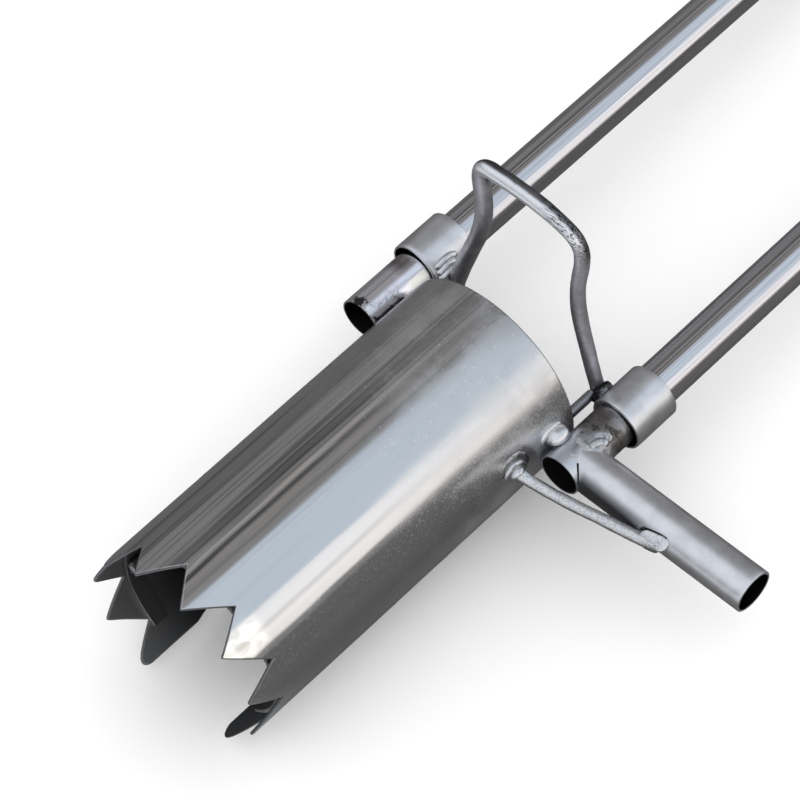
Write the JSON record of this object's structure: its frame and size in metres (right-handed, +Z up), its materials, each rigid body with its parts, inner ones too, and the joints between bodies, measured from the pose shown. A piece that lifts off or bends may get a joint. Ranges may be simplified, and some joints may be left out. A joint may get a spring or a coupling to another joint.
{
  "type": "seedling transplanter",
  "caption": "Foot-driven soil-core transplanter: toothed, slotted barrel on parallel tube poles with a T-handle, a side pedal and a sliding ejector ring.",
  "frame": {"origin": "on the surface that the lying tool rests on, under the middle of its outer box", "axes": "+Y along the poles from the teeth to the handle, +Z up towards the bridge rod, +X to the pedal"},
  "size_m": [0.407, 0.9738, 0.1527],
  "materials": {
    "polished_stainless": "polished rolled stainless sheet and tube, fine marks along its length",
    "satin_stainless": "satin stainless tube",
    "worn_rod": "grey stainless rod and strip, bright where it is worn",
    "weld_bead": "raw weld metal with dark heat marks",
    "black_rubber": "matt ribbed rubber"
  },
  "bodies": {
    "frame": {"barrel": "polished_stainless", "left_pole": "polished_stainless", "right_pole": "polished_stainless", "handle_bar": "satin_stainless", "left_grip": "black_rubber", "right_grip": "black_rubber", "pedal_tube": "satin_stainless", "pedal_brace": "worn_rod", "left_pole_weld": "weld_bead", "right_pole_weld": "weld_bead", "pedal_weld": "weld_bead", "brace_root_weld": "weld_bead", "brace_tip_weld": "weld_bead", "left_handle_weld": "weld_bead", "right_handle_weld": "weld_bead"},
    "ejector": {"left_collar": "satin_stainless", "right_collar": "satin_stainless", "bridge_rod": "worn_rod", "left_push_rod": "worn_rod", "right_push_rod": "worn_rod", "ejector_ring": "worn_rod", "left_foot_weld": "weld_bead", "right_foot_weld": "weld_bead", "left_ring_weld": "weld_bead", "right_ring_weld": "weld_bead"}
  },
  "joints": [
    {"name": "ejector_slide", "type": "slide", "parent": "frame", "child": "ejector", "axis": [0, 1, 0], "range_m": [-0.012, 0.18]}
  ]
}
